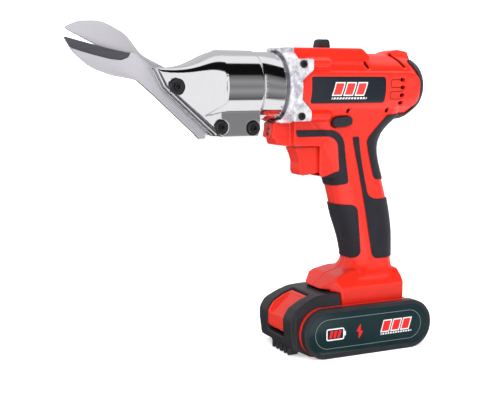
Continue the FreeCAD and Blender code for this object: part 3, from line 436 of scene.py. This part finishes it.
FINISH = {
    "red_plastic": red_plastic(),
    "black_rubber": rubber(),
    "black_plastic": black_plastic(),
    "nameplate": nameplate(),
    "cast_aluminium": cast_aluminium(),
    "chrome": chrome(),
    "blade_steel": blade_steel("blade_steel", (0.55, 0.54, 0.57), (0.41, 0.40, 0.44), 0.30),
    "black_steel": black_steel(),
    "gear_steel": bright_steel("gear_steel", (0.42, 0.42, 0.45)),
    "motor_steel": bright_steel("motor_steel", (0.58, 0.58, 0.60)),
    "magnet": plain("ferrite", (0.05, 0.05, 0.055), 0.5),
    "lens": shaded_lens_glass(),
    "label": pack_label(),
    "cell_wrap": plain("cell_wrap", (0.08, 0.30, 0.22), 0.3),
    "board": plain("circuit_board", (0.02, 0.16, 0.06), 0.4),
    "lead": plain("lead_jacket", (0.55, 0.02, 0.02), 0.35),
}
# near-black steel used as painted shade on the lower blade's bevel and tang underside
BEVEL_SHADE_STEEL = blade_steel("ground_bevel", (0.085, 0.085, 0.10), (0.045, 0.045, 0.056), 0.26)


# ------------------------------------------------------------------ mesh work

MERGE = 0.002 * MM
NEARLY_FLAT = math.radians(0.8)
SHARP = math.radians(35.0)


def copy_of(node, name):
    """A merged copy of a node's mesh as a new piece."""
    mesh = nodes[node].data.copy()
    mesh.name = name
    mesh.materials.clear()
    made = bpy.data.objects.new(name, mesh)
    bpy.context.scene.collection.objects.link(made)
    work = bmesh.new()
    work.from_mesh(mesh)
    bmesh.ops.remove_doubles(work, verts=work.verts, dist=MERGE)
    work.to_mesh(mesh)
    work.free()
    return made


def settle(piece):
    """Turn a piece's modifiers into its plain mesh."""
    depsgraph = bpy.context.evaluated_depsgraph_get()
    mesh = bpy.data.meshes.new_from_object(piece.evaluated_get(depsgraph), depsgraph=depsgraph)
    piece.modifiers.clear()
    piece.data = mesh


def dress(piece, node):
    """Finish, body and slot of a piece that stands for a node."""
    piece.data.materials.clear()
    piece.data.materials.append(FINISH[SLOT_OF[node]].material)
    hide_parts(node)
    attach(piece, BODY_OF[node])
    return piece


def moulded(node, voxel, rounds):
    """A moulded or cast copy of a node: every edge softened to a small radius."""
    made = copy_of(node, node + "_skin")
    remesh = made.modifiers.new("voxels", "REMESH")
    remesh.mode = "VOXEL"
    remesh.voxel_size = voxel * MM
    smooth = made.modifiers.new("soften", "SMOOTH")
    smooth.factor = 0.5
    smooth.iterations = rounds
    settle(made)
    made.data.polygons.foreach_set("use_smooth", [True] * len(made.data.polygons))
    return dress(made, node)


def crisp(node, width, segments=2):
    """A machined or pressed copy of a node: flat faces joined up, sharp edges finely bevelled."""
    made = copy_of(node, node + "_piece")
    work = bmesh.new()
    work.from_mesh(made.data)
    bmesh.ops.dissolve_limit(work, angle_limit=NEARLY_FLAT, verts=work.verts, edges=work.edges)
    work.to_mesh(made.data)
    work.free()
    bevel = made.modifiers.new("edges", "BEVEL")
    bevel.width = width * MM
    bevel.segments = segments
    bevel.limit_method = "ANGLE"
    bevel.angle_limit = SHARP
    bevel.harden_normals = True
    made.data.polygons.foreach_set("use_smooth", [True] * len(made.data.polygons))
    settle(made)
    return dress(made, node)


# ------------------------------------------------------------------ pieces

# voxel size in millimetres and rounds of smoothing, or bevel width in millimetres and its segments
for side in ("left", "right"):
    moulded(side + "_housing", 0.8, 3)
    for stripe in ("trigger_stripe", "front_pad", "rear_pad", "back_strip"):
        moulded(f"{side}_{stripe}", 0.42, 3)
    moulded(side + "_head_casting", 0.6, 4)
    crisp(side + "_nameplate", 0.2)
    crisp(side + "_side_cap", 1.5, 4)
    crisp(side + "_bumper_ring", 0.3)
    crisp(side + "_label", 0.15)
moulded("gearbox_flange", 0.5, 3)
crisp("gearbox_collar", 0.4, 3)
moulded("battery_case", 0.7, 3)
moulded("latch_button", 0.45, 4)
moulded("trigger", 0.4, 4)
moulded("reverse_button", 0.4, 4)
moulded("speed_knob", 0.35, 4)
crisp("upper_blade", 0.22)
lower = crisp("lower_blade", 0.22)
crisp("pivot_nut", 0.4, 3)
crisp("pivot_bolt", 0.6, 3)
crisp("clamp_bolts", 0.6, 3)
crisp("flange_screws", 0.3)
crisp("housing_screws", 0.25)

for node, piece in nodes.items():
    piece.data.materials.clear()
    piece.data.materials.append(FINISH[SLOT_OF[node]].material)

# the lower blade's hollow-ground bevel and the downward faces of its tang get a near-black steel:
# painted shade, standing in for the shadow these faces lie in
HOLLOW_DEPTH = -2.3
TANG_FRONT = -182.0
lower.data.materials.append(BEVEL_SHADE_STEEL.material)
for face in lower.data.polygons:
    shaded_hollow = abs(face.center.y / MM - HOLLOW_DEPTH) < 0.05 and face.normal.y < -0.9
    shaded_tang_underside = face.center.x / MM > TANG_FRONT and face.normal.z < -0.3 and face.normal.y > -0.6
    if shaded_hollow or shaded_tang_underside:
        face.material_index = 1


# ------------------------------------------------------------------ repeated details

def grown_tree(name, sizes, build):
    """A Geometry Nodes tree with named inputs, ended by Realize Instances and Set Material."""
    tree = bpy.data.node_groups.new(name, "GeometryNodeTree")
    tree.interface.new_socket("Geometry", in_out="OUTPUT", socket_type="NodeSocketGeometry")
    for label, kind in (("Geometry", "Geometry"), ("Material", "Material"), *sizes):
        tree.interface.new_socket(label, in_out="INPUT", socket_type="NodeSocket" + kind)
    work = Nodes(tree)
    entry = tree.nodes.new("NodeGroupInput")
    given = {socket.name: Socket(work, socket) for socket in entry.outputs if socket.name}
    real = work.add("GeometryNodeRealizeInstances", {}, Geometry=build(work, given))
    painted = work.add("GeometryNodeSetMaterial", {}, Geometry=real, Material=given["Material"])
    leave = tree.nodes.new("NodeGroupOutput")
    tree.links.new(painted.socket, leave.inputs[0])
    return tree


def repeated(name, tree, body, finish, spots, **sizes):
    """A plain mesh grown by a tree on the given spots, in millimetres; it rides on the body."""
    mesh = bpy.data.meshes.new(name + "_spots")
    mesh.from_pydata([Vector(spot) * MM for spot in spots], [], [])
    made = bpy.data.objects.new(name, mesh)
    bpy.context.scene.collection.objects.link(made)
    grow = made.modifiers.new("grow", "NODES")
    grow.node_group = tree
    given = {item.name: item.identifier for item in tree.interface.items_tree
             if item.in_out == "INPUT"}
    grow[given["Material"]] = FINISH[finish].material
    for label, value in sizes.items():
        grow[given[label]] = value
    settle(made)
    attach(made, body)


def screw_face(work, given):
    """A rounded rim and a walled socket with flat sides, set on every spot and turned by Tilt."""
    path = work.add("GeometryNodeCurvePrimitiveCircle", {}, Resolution=40, Radius=given["Rim"])
    profile = work.add("GeometryNodeCurvePrimitiveCircle", {}, Resolution=10,
                       Radius=given["Wire"])
    rim = work.add("GeometryNodeCurveToMesh", {}, Curve=path, Profile_Curve=profile)
    plug = work.add("GeometryNodeMeshCylinder", {}, Vertices=32, Radius=given["Socket"],
                    Depth=given["Depth"])
    key = work.add("GeometryNodeMeshCylinder", {}, Vertices=given["Sides"], Radius=given["Key"],
                   Depth=given["Depth"] * 1.5)
    walled = work.tree.nodes.new("GeometryNodeMeshBoolean")
    walled.operation = "DIFFERENCE"
    work.tree.links.new(plug.socket, walled.inputs[0])
    work.tree.links.new(key.socket, walled.inputs[1])
    whole = work.tree.nodes.new("GeometryNodeJoinGeometry")
    work.tree.links.new(walled.outputs[0], whole.inputs[0])
    work.tree.links.new(rim.socket, whole.inputs[0])
    turn = work.add("FunctionNodeEulerToRotation", {}, given["Tilt"])
    return work.add("GeometryNodeInstanceOnPoints", {}, Points=given["Geometry"],
                    Instance=Socket(work, whole.outputs[0]), Rotation=turn)


def rib_row(work, given):
    """A row of round bars that starts at every spot and steps by Step, each bar turned by Tilt."""
    row = work.add("GeometryNodeMeshLine", {"mode": "OFFSET"}, Count=given["Count"],
                   Offset=given["Step"])
    bar = work.add("GeometryNodeMeshCylinder", {}, Vertices=14, Side_Segments=1,
                   Radius=given["Radius"], Depth=given["Length"])
    turn = work.add("FunctionNodeEulerToRotation", {}, given["Tilt"])
    bars = work.add("GeometryNodeInstanceOnPoints", {}, Points=row, Instance=bar, Rotation=turn)
    return work.add("GeometryNodeInstanceOnPoints", {}, Points=given["Geometry"], Instance=bars)


SCREW_SIZES = (("Rim", "Float"), ("Wire", "Float"), ("Socket", "Float"), ("Depth", "Float"),
               ("Key", "Float"), ("Sides", "Int"), ("Tilt", "Vector"))
RIB_SIZES = (("Count", "Int"), ("Step", "Vector"), ("Radius", "Float"), ("Length", "Float"),
             ("Tilt", "Vector"))
SCREW_FACE = grown_tree("screw_face", SCREW_SIZES, screw_face)
RIB_ROW = grown_tree("rib_row", RIB_SIZES, rib_row)
PROUD = 0.1
ACROSS = (math.pi / 2, 0.0, 0.0)
UPRIGHT = (0.0, 0.0, 0.0)


def corners(node):
    """The lowest and highest corner of a CAD node in millimetres."""
    low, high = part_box(node)
    return Vector(low) / MM, Vector(high) / MM


def screw_faces(name, spots, head, socket, depth, key):
    """Rims and hex sockets on screws across the tool: radii and depth in millimetres."""
    wire = head * 0.07
    repeated(name, SCREW_FACE, "tool_body", "black_steel", spots, Rim=(head - wire * 2.4) * MM,
             Wire=wire * MM, Socket=socket * MM, Depth=depth * MM, Key=key * MM, Sides=6,
             Tilt=ACROSS)


CLAMP_HEAD = 4.9
PIVOT_HEAD = 5.4
SMALL_HEAD = 2.9
low, high = corners("clamp_bolts")
clamp_spots = [(low.x + CLAMP_HEAD, low.y + PROUD, high.z - CLAMP_HEAD),
               (high.x - CLAMP_HEAD, low.y + PROUD, low.z + CLAMP_HEAD)]
screw_faces("clamp_faces", clamp_spots, CLAMP_HEAD, 2.28, 1.8, 1.75)
low, high = corners("pivot_bolt")
middle = (low + high) / 2
pivot_spots = [(middle.x, low.y + PROUD, middle.z)]
screw_faces("pivot_face", pivot_spots, PIVOT_HEAD, 2.48, 1.8, 1.9)
low, high = corners("flange_screws")
ears = ((high.x - SMALL_HEAD, high.z - SMALL_HEAD), (low.x + SMALL_HEAD, low.z + SMALL_HEAD))
ear_spots = [(x, y, z) for y in (low.y + PROUD, high.y - PROUD) for x, z in ears]
screw_faces("flange_screw_faces", ear_spots, SMALL_HEAD, 1.28, 1.2, 0.95)
HOUSING_SCREWS = ((16.0, 13.4, 150.0), (28.0, 13.9, 86.0), (5.0, 13.7, 89.0), (50.0, 15.4, 221.0),
                  (50.0, 15.4, 197.0), (-43.0, 11.4, 174.5))
screw_faces("housing_screw_faces", HOUSING_SCREWS, SMALL_HEAD, 1.18, 1.0, 0.9)
low, high = corners("speed_knob")
knob_spots = [(low.x + 2.0, 0, high.z - PROUD)]
repeated("knob_ribs", RIB_ROW, "speed_selector", "black_plastic", knob_spots, Count=4,
         Step=Vector((2.2, 0, 0)) * MM, Radius=0.5 * MM, Length=6.4 * MM, Tilt=ACROSS)
low, high = corners("latch_button")
latch_spots = [(low.x + 8.4, 0, high.z - 9.2)]
repeated("latch_ribs", RIB_ROW, "battery_latch", "red_plastic", latch_spots, Count=4,
         Step=Vector((-1.5, 0, -1.32)) * MM, Radius=0.4 * MM, Length=17.5 * MM, Tilt=ACROSS)
low, high = corners("reverse_button")
middle = (low + high) / 2
button_spots = [(middle.x - 4.0, y, middle.z - 0.4) for y in (low.y + PROUD, high.y - PROUD)]
repeated("button_ribs", RIB_ROW, "direction_button", "black_plastic", button_spots, Count=5,
         Step=Vector((2.0, 0, 0.15)) * MM, Radius=0.45 * MM, Length=4.2 * MM, Tilt=UPRIGHT)


# ------------------------------------------------------------------ floor and light

FLOOR_TONE = 0.93
FLOOR_GLOW = 0.45
FLOOR_RADIUS = 3.0
ROUND = 96
ROOM_LIGHT = 0.95
WHITE = (1.0, 1.0, 1.0)
# name, place, target, width and height in metres, power in watts
LAMPS = (
    ("key", (-0.9, -1.1, 1.3), (0, 0, 0.15), (0.9, 0.9), 24),
    ("fill", (0.9, -0.9, 0.5), (0, 0, 0.12), (0.8, 0.8), 8),
    ("top", (0, 0.2, 1.5), (0, 0, 0.1), (1.2, 0.6), 12),
)


def staged(name, shape, finish):
    """A piece of the studio made from a bmesh: reflections never show it."""
    mesh = bpy.data.meshes.new(name)
    shape.to_mesh(mesh)
    shape.free()
    mesh.materials.append(finish.material)
    made = bpy.data.objects.new(name, mesh)
    made.visible_glossy = False
    bpy.context.scene.collection.objects.link(made)
    return made


def backdrop():
    """A pale round floor, and a white wall far round it that lights nothing."""
    paper = Surface("paper")
    cloud = paper.noise(paper.place(), 0.002, 2.0)
    colour = paper.mix(cloud, (FLOOR_TONE,) * 3, (FLOOR_TONE - 0.02,) * 3)
    paper.feed(colour=colour, rough=0.9, glow=WHITE)
    paper.fix(glow_strength=FLOOR_GLOW)
    disc = bmesh.new()
    bmesh.ops.create_circle(disc, cap_ends=True, radius=FLOOR_RADIUS, segments=ROUND)
    staged("floor", disc, paper)
    white = Surface("white_wall")
    white.feed(colour=(0.9, 0.9, 0.9), rough=0.9, glow=WHITE).fix(glow_strength=1.0)
    ring = bmesh.new()
    radius = FLOOR_RADIUS * 0.98
    bmesh.ops.create_cone(ring, radius1=radius, radius2=radius, depth=FLOOR_RADIUS * 2,
                          segments=ROUND)
    bmesh.ops.translate(ring, verts=ring.verts, vec=(0, 0, FLOOR_RADIUS * 0.99))
    wall = staged("wall", ring, white)
    wall.visible_diffuse = False
    wall.visible_shadow = False
    wall.visible_transmission = False


def lamp(name, place, target, size, power):
    """A soft rectangular light that metal doesn't mirror."""
    light = bpy.data.lights.new(name, "AREA")
    light.shape = "RECTANGLE"
    light.size, light.size_y = size
    light.energy = power
    made = bpy.data.objects.new(name, light)
    made.location = place
    made.rotation_euler = (Vector(target) - Vector(place)).to_track_quat("-Z", "Y").to_euler()
    made.visible_glossy = False
    bpy.context.scene.collection.objects.link(made)


def studio():
    """A white room for chrome to mirror: a black band high up, and grey under it at the rear."""
    world = bpy.data.worlds.new("studio")
    world.use_nodes = True
    room = Nodes(world.node_tree)
    across, ahead, up = room.split(room.add("ShaderNodeTexCoord", {}))
    height = up.turn(-ahead) + 0.5
    above = ((0.606, 0.006), (0.711, 0.006), (0.722, 1.0), (0.80, 1.0), (0.825, 0.62), (1.0, 0.62))
    rear = ((0.0, 0.62), (0.10, 1.0), (0.372, 1.0), (0.384, 0.10), (0.46, 0.36), (0.50, 0.24),
            (0.54, 0.34), (0.596, 0.12), *above)
    front = ((0.0, 0.40), (0.05, 0.06), (0.24, 0.05), (0.33, 0.70), (0.40, 1.0), (0.596, 1.0),
             *above)
    walls = []
    for tones in (rear, front):
        stops = [(place, (tone,) * 3) for place, tone in tones]
        walls.append(room.add("ShaderNodeValToRGB", {"stops": stops}, height))
    blend = room.add("ShaderNodeMix", {"data_type": "RGBA"}, across.below(0.24, 0.08), *walls)
    back = room.add("ShaderNodeBackground", {}, blend, ROOM_LIGHT)
    out = room.tree.nodes.new("ShaderNodeOutputWorld")
    room.tree.links.new(back.socket, out.inputs[0])
    bpy.context.scene.world = world


backdrop()
studio()
for settings in LAMPS:
    lamp(*settings)
